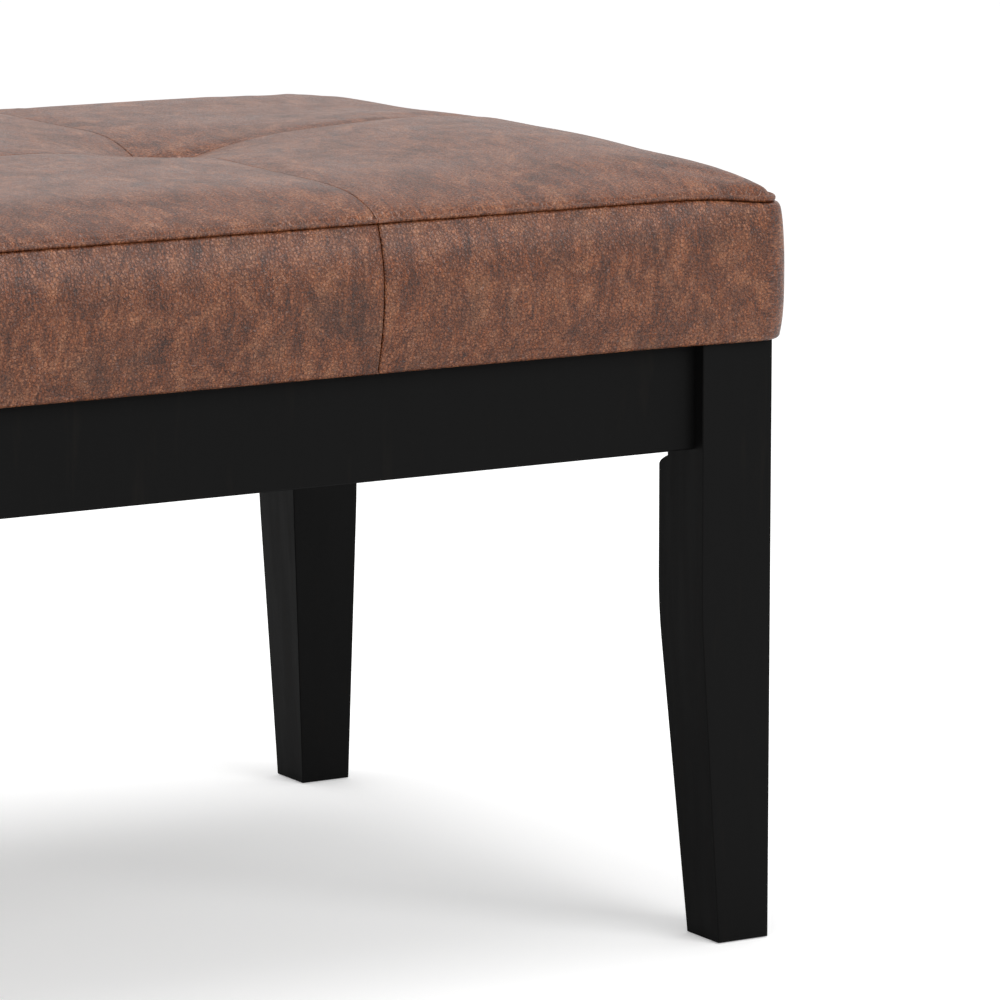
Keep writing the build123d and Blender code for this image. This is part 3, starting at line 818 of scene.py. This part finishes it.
def boxingSurface(startS, endS, number):
    settings = boxingSettings
    isEnd = endS > cornerX
    s = startS + graded(endS - startS, settings["alongSteps"][int(isEnd)], 0.35)
    if isEnd:
        beside, count = settings["cornerSteps"]
        arc = np.linspace(cornerX - beside, cornerX + arcLength + beside, count)
        s = np.unique(np.concatenate([s[(s < arc[0]) | (s > arc[-1])], arc]))
    x, y, outX, outY = sidePath(s)
    corner = cornerShare(s)
    dip = cornerDip(x + outX * cushion["edgeOut"], y + outY * cushion["edgeOut"])
    rows = []  # outward place, height, run from the seam
    for inset, drop in settings["seamRows"]:
        uneven = pucker(s, number + 5) * (drop > 0.2) * settings["pucker"]
        rows.append((sideOut(seamZ - drop, corner) - inset - uneven, seamZ - drop + 0 * s, drop + 0 * s))
    foot = cushion["footRound"]
    lastZ = undersideZ + foot
    for step in graded(seamZ - 1 - lastZ, settings["downSteps"], 0.5)[1:]:
        z = seamZ - 1 - step + 0 * s
        rows.append((sideOut(z, corner), z, 1 + step + 0 * s))
    down = seamZ - lastZ
    base = sideOut(lastZ + 0 * s, corner)
    for i in range(settings["footSteps"]):
        turn = math.radians(90 * (i + 1) / settings["footSteps"])
        out = base - foot * (1 - math.cos(turn))
        rows.append((out, lastZ - foot * math.sin(turn) + 0 * s, down + foot * turn + 0 * s))
    for width in np.cumsum(settings["flapSteps"]):
        rows.append((base - foot - width, undersideZ + 0 * s, down + foot * 1.57 + width + 0 * s))
    out, height, fromSeam = np.swapaxes(np.array(rows), 0, 1)
    nearest = np.minimum(s - startS, endS - s)
    depth, reach = settings["notch"]
    drawnIn = settings["valley"] * seamValley(nearest) + depth * bell(nearest, reach)
    out = out - drawnIn * np.clip((height - undersideZ) / foot, 0, 1)
    z = height - dip * np.clip((height - undersideZ) / (seamZ - undersideZ), 0, 1)
    x, y, _, _ = sidePath(s, np.maximum(-out, 0))
    outward = np.maximum(out, 0)
    points = np.dstack([x + outX * outward, y + outY * outward, z])[::-1].reshape(-1, 3)
    uv = np.dstack([s + 0 * z, -fromSeam])[::-1].reshape(-1, 2)
    return points, facesOfGrid(np.arange(z.size).reshape(z.shape)), uv


number = 0
spans = [  # column, start and end on the path, side of the middle
    ("3", -pitch / 2, pitch / 2, 1),
    ("4", pitch / 2, lastSeam, 1),
    ("2", pitch / 2, lastSeam, -1),
    ("5", lastSeam, pathLength, 1),
    ("1", lastSeam, pathLength, -1),
]
for row, signY in (("front", 1), ("back", -1)):
    for column, startS, endS, signX in spans:
        number += 1
        seamPlaces = [place for place in (startS, endS) if abs(place) < cornerX - 1]
        panel = panelSurface(startS, endS, seamPlaces, (signX, signY), number)
        leatherPiece(f"top_panel_{row}_{column}", *panel, signX, signY, number)
        side = boxingSurface(startS, endS, number)
        leatherPiece(f"boxing_{row}_{column}", *side, signX, signY, number + 20)
print("cover made")


# Closed rings round the cushion, each with its inset from the frame's outline and its heights
def ringSurface(name, rows, slot, node):
    front, corner = np.linspace(0, cornerX, 90), cornerX + np.linspace(0, arcLength, 7)
    end = cornerX + arcLength + np.linspace(0, cornerY, 34)
    quarter = np.unique(np.concatenate([front, corner, end]))
    rings = []
    for inset, height in rows:
        x, y, outX, outY = sidePath(quarter, max(inset, 0))
        x, y = x + outX * max(-inset, 0), y + outY * max(-inset, 0)
        x = np.concatenate([x, x[::-1], -x, -x[::-1]])
        y = np.concatenate([y, -y[::-1], -y, y[::-1]])
        z = height(x, y) if callable(height) else height + 0 * x
        rings.append(np.stack([x, y, z], axis=1))
    piece = meshObject(name, rings, facesOfRings(len(rings), len(rings[0])))
    addPiece(piece, slot, node)


# Fibre wrap and foam block under the cover
paddingSettings = {
    "wrapBelow": 3.7,
    "underTufts": 3.5,
    "tuftWidth": 14,
    "wrapInside": 2.2,
    "wrapOut": 6.5,
    "wrapHeights": np.linspace(undersideZ + 3, seamZ - 5, 9),
    "wrapInsets": (1.5, 4, 8, 14, 24, 40, 60, 85, 110, 135, 160, 185, 210, 230, halfDepth),
    "foamInset": 4,
    "foamTopZ": boxOf("foam_block")[1][2],
    "boardTopZ": boxOf("seat_board")[1][2],
    "foamEdge": 8,
    "foamInsets": (30, 60, 100, 150, 200, halfDepth),
}


def makePadding(settings):
    tufts = [place + shift for place, shift in zip(tuftPlaces, cushion["tuftShifts"])]

    def wrapTop(x, y):
        tufted = sum(np.exp(-((x - tuft) ** 2 + y**2) / settings["tuftWidth"] ** 2) for tuft in tufts)
        top = topZ(x - tuftShift(x, y), y)
        return top - settings["wrapBelow"] - settings["underTufts"] * tufted

    heights = settings["wrapHeights"]
    insets = np.maximum(settings["wrapInside"] - sideOut(heights, 0.0), -settings["wrapOut"])
    rows = [*zip(insets, heights)] + [(inset, wrapTop) for inset in settings["wrapInsets"]]
    ringSurface("fibre_wrap_soft", rows, "fibre", "fibre_wrap")
    edge, top, base = settings["foamEdge"], settings["foamTopZ"], settings["boardTopZ"]
    inset = settings["foamInset"]
    rows = [(halfDepth, base), (inset + 1, base), (inset, base + 2), (inset, top - edge)]
    for i in range(1, 6):
        turn = math.radians(18 * i)
        rows.append((inset + edge * (1 - math.cos(turn)), top - edge * (1 - math.sin(turn))))
    rows += [(i, top) for i in settings["foamInsets"]]
    ringSurface("foam_block_soft", rows, "foam", "foam_block")


makePadding(paddingSettings)
print("padding made")


# Twines of two twisted strands, from the anchors up to the hand-tied tufts
twineSettings = {
    "strandRadius": 0.75,
    "strandOffset": 0.7,
    "twist": 7.0,
    "underTop": 5.0,
    "sides": 10,
    "rings": 60,
}


def makeTwines(settings):
    low = boxOf("tuft_twines")[0][2]
    board = paddingSettings["boardTopZ"]
    radius, offset = settings["strandRadius"], settings["strandOffset"]
    around = circle(settings["sides"])
    points, faces = [], []
    for place, shift in zip(tuftPlaces, cushion["tuftShifts"]):
        high = topZ(place, 0.0) - settings["underTop"]
        z = np.linspace(low, high, settings["rings"])
        middle = place + shift * np.clip((z - board) / (high - board), 0, 1)
        for start in (0, math.pi):
            turn = start + 2 * math.pi * z / settings["twist"]
            x = (middle + offset * np.cos(turn))[:, None] + radius * np.cos(around)
            y = (offset * np.sin(turn))[:, None] + radius * np.sin(around)
            faces += facesOfRings(*x.shape, len(points) * x.size, capped=True)
            points.append(np.dstack([x, y, z[:, None] + 0 * x]))
    addPiece(meshObject("tuft_twines_twisted", points, faces), "twine", "tuft_twines")


makeTwines(twineSettings)
print("twines made")


# A solid turned about Z: rows of radius and height, each one number or a value for every side
def turnedForm(rows, sides, closed=False):
    angles = circle(sides)
    rings = [np.stack([r * np.cos(angles), r * np.sin(angles), z + 0 * angles], axis=1) for r, z in rows]
    return np.concatenate(rings), facesOfRings(len(rows), sides, closed=closed)


def spun(x, y, turn):
    c, s = math.cos(turn), math.sin(turn)
    return x * c - y * s, x * s + y * c


# Rotation and move of points from their own axes, Z along a direction
def placed(points, origin, direction, spin=0.0):
    along = np.array(direction, float) / np.linalg.norm(direction)
    side = np.cross(along, (0, 0, 1) if abs(along[2]) < 0.9 else (1, 0, 0))
    side /= np.linalg.norm(side)
    x, y = spun(points[:, :1], points[:, 1:2], spin)
    return np.array(origin) + x * side + y * np.cross(along, side) + points[:, 2:] * along


# Several copies of one form joined in a mesh object
def joinedCopies(name, copies, slot, *nodes):
    points, faces, offset = [], [], 0
    for formPoints, formFaces in copies:
        points.append(formPoints)
        faces += [[corner + offset for corner in face] for face in formFaces]
        offset += len(formPoints)
    addPiece(meshObject(name, np.concatenate(points), faces, smooth=False), slot, *nodes)


# Screw head with a cross recess. Height 0 is the face that it sits on
def screwHead(radius, height, crossReach, crossWidth, crossDepth, domed):
    sides = 32
    angles = circle(sides)
    if domed:
        rows = [(radius * 0.96, -0.3), (radius, 0.25), (radius * 0.97, 0.6 * height)]
        rows += [(radius * 0.8, 0.93 * height), (crossReach * 1.3, height)]
    else:
        rows = [(radius * 0.9, -0.5), (radius, 0), (radius * 0.97, height), (crossReach * 1.3, height)]
    points, faces = turnedForm(rows, sides)
    half = crossWidth / 2
    cross = []
    for quarter in range(4):
        for x, y in [(crossReach, -half), (crossReach, half), (half, half)]:
            cross.append(spun(x, y, math.radians(90 * quarter)))
    cross = np.array(cross)
    start = len(points)
    upper = np.column_stack([cross, np.full(len(cross), height)])
    lower = np.column_stack([cross * 0.55, np.full(len(cross), height - crossDepth)])
    points = np.concatenate([points, upper, lower, [[0, 0, height - crossDepth]]])
    rim = list(range(start - sides, start))
    crossAngles = np.arctan2(cross[:, 1], cross[:, 0]) % (2 * math.pi)
    count = len(cross)
    order = np.argsort(crossAngles)
    ring = [start + int(i) for i in order]
    rimEnds = [*angles[1:], 2 * math.pi]
    ringEnds = [*crossAngles[order][1:], crossAngles[order[0]] + 2 * math.pi]
    i = j = 0
    while i < sides or j < count:
        rimHere, ringHere = rim[i % sides], ring[j % count]
        if j >= count or (i < sides and rimEnds[i] <= ringEnds[j]):
            faces.append([rimHere, rim[(i + 1) % sides], ringHere])
            i += 1
        else:
            faces.append([rimHere, ring[(j + 1) % count], ringHere])
            j += 1
    for k in range(count):
        a, b = ring[k], ring[(k + 1) % count]
        faces.append([a, b, b + count, a + count])
        faces.append([a + count, b + count, start + 2 * count])
    return points, faces


hardwareSettings = {
    "boltDiameter": 8,
    "boltLength": 70,
    "threadPitch": 1.25,
    "threadDepth": 0.65,
    "nutAcross": 13,
    "nutHeight": 6.5,
    "bracketSheet": 2,
    "bracketScrew": (3.9, 2.1, 2.3, 1.1, 1.2),  # radius and height, then the cross: reach, width, depth
    "bracketScrewRises": (-14, 14),
    "screwFromEdge": 13,
    "cleatScrew": (3.6, 0.25, 2.0, 1.0, 1.4),
    "cleatScrewCount": 4,
    "cleatScrewRise": 9,
    "boardScrewStep": 30,  # between a screw into the apron and the next one into the board
}


# Rod with a cut thread along its whole length
def threadedRod(diameter, length, settings):
    sides, turnSteps = 28, 7
    rows = int(length / settings["threadPitch"] * turnSteps) + 1
    angles = circle(sides)
    heights = np.linspace(0, length, rows)[:, None]
    phase = (heights / settings["threadPitch"] - angles / (2 * math.pi)) % 1
    cut = settings["threadDepth"] * np.clip(np.abs(2 * phase - 1) * 1.25 - 0.12, 0, 1)
    fromEnd = np.minimum(heights, length - heights)
    radius = np.minimum(diameter / 2 - cut, diameter / 2 - 1.0 + fromEnd)
    points = np.dstack([radius * np.cos(angles), radius * np.sin(angles), heights + 0 * radius])
    return points.reshape(-1, 3), facesOfRings(rows, sides, capped=True)


# Hexagon nut, its corners turned off on both sides
def hexagonNut(across, height, bore):
    sides = 72
    angles = circle(sides)
    flat = across / 2 / np.cos((angles + math.pi / 6) % (math.pi / 3) - math.pi / 6)
    face = across / 2 * 0.97
    rise = np.maximum(flat - face, 0) * math.tan(math.radians(28))
    lower = [(bore / 2, 0.4), (bore / 2 + 0.5, 0), (face, 0), (flat, rise)]
    upper = [(radius, height - z) for radius, z in reversed(lower)]
    return turnedForm(lower + upper, sides, closed=True)


def makeHardware(settings):
    low, high = boxOf("corner_bracket_front_left")
    middleZ = (low[2] + high[2]) / 2
    along = high[0] + halfLength - settings["screwFromEdge"]
    wingFace = boxOf("apron_front")[1][1] + halfDepth + settings["bracketSheet"]
    slanted = math.cos(math.radians(45)) / 2
    near = boxOf("hanger_bolts")[0][0] + halfLength + settings["boltDiameter"] * slanted
    nutNear = boxOf("hanger_nuts")[0][0] + halfLength + settings["nutAcross"] * slanted
    rod = threadedRod(settings["boltDiameter"], settings["boltLength"], settings)
    nut = hexagonNut(settings["nutAcross"], settings["nutHeight"], settings["boltDiameter"] + 0.1)
    head = screwHead(*settings["bracketScrew"], True)
    bolts, nuts, screws = [], [], []
    for signX, signY in ((-1, -1), (1, -1), (-1, 1), (1, 1)):
        corner = np.array([signX * halfLength, signY * halfDepth, middleZ])
        inward = np.array([-signX, -signY, 0.0])
        bolts.append((placed(rod[0], corner + inward * near, inward), rod[1]))
        nuts.append((placed(nut[0], corner + inward * nutNear, inward), nut[1]))
        wings = ((along, wingFace, (0, -signY, 0)), (wingFace, along, (-signX, 0, 0)))
        for i, rise in enumerate(settings["bracketScrewRises"]):
            for inX, inY, outward in wings:
                origin = corner + np.array([-signX * inX, -signY * inY, rise])
                screws.append((placed(head[0], origin, outward, 0.7 * i + inX), head[1]))
    joinedCopies("hanger_bolts_threaded", bolts, "zinc_steel", "hanger_bolts")
    joinedCopies("hanger_nuts_turned", nuts, "zinc_steel", "hanger_nuts")
    joinedCopies("bracket_screws", screws, "zinc_steel")
    head = screwHead(*settings["cleatScrew"], False)
    heads = []
    for name in [f"cleat_{row}_{end}" for row in ("front", "back") for end in ("left", "right")]:
        low, high = boxOf(name)
        inward = 1 if high[1] < 0 else -1
        faceY = high[1] if high[1] < 0 else low[1]
        for i in range(settings["cleatScrewCount"]):
            x = low[0] + (i + 0.5) / settings["cleatScrewCount"] * (high[0] - low[0])
            inside = (x, faceY, low[2] + settings["cleatScrewRise"])
            heads.append((placed(head[0], inside, (0, inward, 0), 0.4 + i), head[1]))
            under = (x + settings["boardScrewStep"], (low[1] + high[1]) / 2, low[2])
            heads.append((placed(head[0], under, (0, 0, -1), 0.9 * i), head[1]))
    joinedCopies("cleat_screws", heads, "zinc_steel")


makeHardware(hardwareSettings)
print("hardware made")


# Dust cover, stapled under the board, sagging a little between its staples
dustSettings = {
    "cornerCut": 24,
    "sag": 1.1,
    "sagReach": 60,
    "railHalf": 10,  # half the centre rail's width
    "railReach": 90,
    "ripple": 0.25,
    "sheet": 0.5,
    "stapleStep": 45,
    "stapleWidth": 10,
    "stapleWire": 0.7,
    "stapleFromEdge": 6,
    "stapleFromCorner": 40,
    "endStaples": 7,
}


def makeDustCover(settings):
    low, (halfX, halfY, _) = boxOf("dust_cover")
    u, v = np.linspace(-1, 1, 171), np.linspace(-1, 1, 61)
    y = v[:, None] * halfY + 0 * u
    reachX = halfX - np.maximum(np.abs(y) - (halfY - settings["cornerCut"]), 0)
    x = u * reachX
    fromEdge = np.minimum(reachX - np.abs(x), halfY - np.abs(y))
    fromRail = np.abs(x) - settings["railHalf"]
    ripple = 0.5 + 0.5 * np.cos(2 * math.pi * x / settings["stapleStep"])
    hang = np.clip(fromEdge / settings["sagReach"], 0, 1) ** 0.6
    hang = hang * np.clip(np.abs(fromRail) / settings["railReach"], 0, 1) ** 0.7
    edgeLift = settings["ripple"] * ripple * np.exp(-fromEdge / 5)
    z = low[2] - settings["sag"] * hang * (fromRail > 0) - edgeLift * (fromRail > 4)
    faces = facesOfGrid(np.arange(z.size).reshape(z.shape))[:, ::-1].tolist()
    piece = meshObject("dust_cover_stretched", np.dstack([x, y, z]), faces)
    thicken(piece, settings["sheet"])
    addPiece(piece, "dust_cloth", "dust_cover")
    return halfX, halfY, low[2]


def makeStaples(settings, halfX, halfY, levelZ):
    wire, width = settings["stapleWire"], settings["stapleWidth"]
    box = [(x, y, z) for x in (-width / 2, width / 2) for y in (-wire / 2, wire / 2) for z in (0, 1)]
    box = np.array(box, float)
    faces = [[0, 2, 3, 1], [4, 5, 7, 6], [0, 1, 5, 4], [2, 6, 7, 3], [1, 3, 7, 5], [0, 4, 6, 2]]
    rowX, rowY = halfX - settings["stapleFromEdge"], halfY - settings["stapleFromEdge"]
    lastX, lastY = halfX - settings["stapleFromCorner"], halfY - settings["stapleFromCorner"]
    places = []
    for signY in (-1, 1):
        for x in np.linspace(-lastX, lastX, int(2 * lastX / settings["stapleStep"])):
            if abs(x) > 18:
                places.append((x, signY * rowY, 0.12 * signY * math.sin(x)))
    for signX in (-1, 1):
        for y in np.linspace(-lastY, lastY, settings["endStaples"]):
            places.append((signX * rowX, y, math.pi / 2 + 0.1 * math.sin(y)))
    copies = []
    for x, y, spin in places:
        turnedX, turnedY = spun(box[:, 0], box[:, 1], spin)
        z = levelZ - 0.55 + 0.85 * box[:, 2]
        copies.append((np.column_stack([turnedX + x, turnedY + y, z]), faces))
    joinedCopies("dust_cover_staples", copies, "zinc_steel")


makeStaples(dustSettings, *makeDustCover(dustSettings))
print("dust cover made")


# Floor, world and lamps
studioSettings = {
    "floorSize": 40,
    "floorColour": (0.86, 0.86, 0.86, 1),
    "floorGlow": 0.3,
    "glowGrowth": (1.8, 7, 1.0, 1.75),  # from and to which distance in metres, and how much
    "world": 0.58,
    "glossyShare": 0.4,
    "lamps": {  # place, where it points, size, watts
        "overhead": ((-0.1, 0.2, 3.2), (0, 0, 0.3), (2.6, 2.4), 78),
        "key": ((1.5, -3.1, 2.6), (0.2, 0, 0.3), (2.2, 1.6), 44),
        "strip": ((1.7, -3.2, 1.55), (0.2, 0, 0.4), (1.8, 0.4), 24),
    },
}


def makeFloor(settings):
    half = settings["floorSize"] / 2 / mm
    corners = [(-half, -half, 0), (half, -half, 0), (half, half, 0), (-half, half, 0)]
    floor = meshObject("floor", corners, [(0, 1, 2, 3)])
    material, tree, shader = newMaterial("floor", Roughness=0.9, Specular_IOR_Level=0.1)
    shader.inputs["Base Color"].default_value = settings["floorColour"]
    shader.inputs["Emission Color"].default_value = (1, 1, 1, 1)
    path = addNode(tree, "LightPath")
    glow = calculate(tree, "MULTIPLY", path.outputs["Is Camera Ray"], settings["floorGlow"])
    place = {0: objectPlace(tree)}
    away = addNode(tree, "VectorMath", place, operation="LENGTH").outputs["Value"]
    glow = calculate(tree, "MULTIPLY", remap(tree, away, *settings["glowGrowth"]), glow)
    connect(glow, shader, "Emission Strength")
    floor.data.materials.append(material)


def makeWorld(settings):
    world = bpy.data.worlds.new("studio")
    world.use_nodes = True
    tree = world.node_tree
    tree.nodes.clear()
    path = addNode(tree, "LightPath")
    glossy = calculate(tree, "MULTIPLY", path.outputs["Is Glossy Ray"], settings["glossyShare"])
    seen = calculate(tree, "MAXIMUM", path.outputs["Is Camera Ray"], glossy)
    strength = remap(tree, seen, 0, 1, settings["world"], 1)
    background = addNode(tree, "Background", {"Color": (1, 1, 1, 1), "Strength": strength})
    addNode(tree, "OutputWorld", {"Surface": background.outputs[0]})
    scene.world = world


def makeLamp(name, place, target, size, power):
    data = bpy.data.lights.new(name, "AREA")
    data.shape = "RECTANGLE"
    data.size, data.size_y = size
    data.energy = power
    lamp = bpy.data.objects.new(name, data)
    lamp.location = place
    direction = [t - p for t, p in zip(target, place)]
    away = math.hypot(direction[0], direction[1])
    heading = math.atan2(direction[1], direction[0]) - math.pi / 2
    lamp.rotation_euler = (math.atan2(away, -direction[2]), 0, heading)
    scene.collection.objects.link(lamp)


makeFloor(studioSettings)
makeWorld(studioSettings)
for name, lampValues in studioSettings["lamps"].items():
    makeLamp(name, *lampValues)
print("studio made")
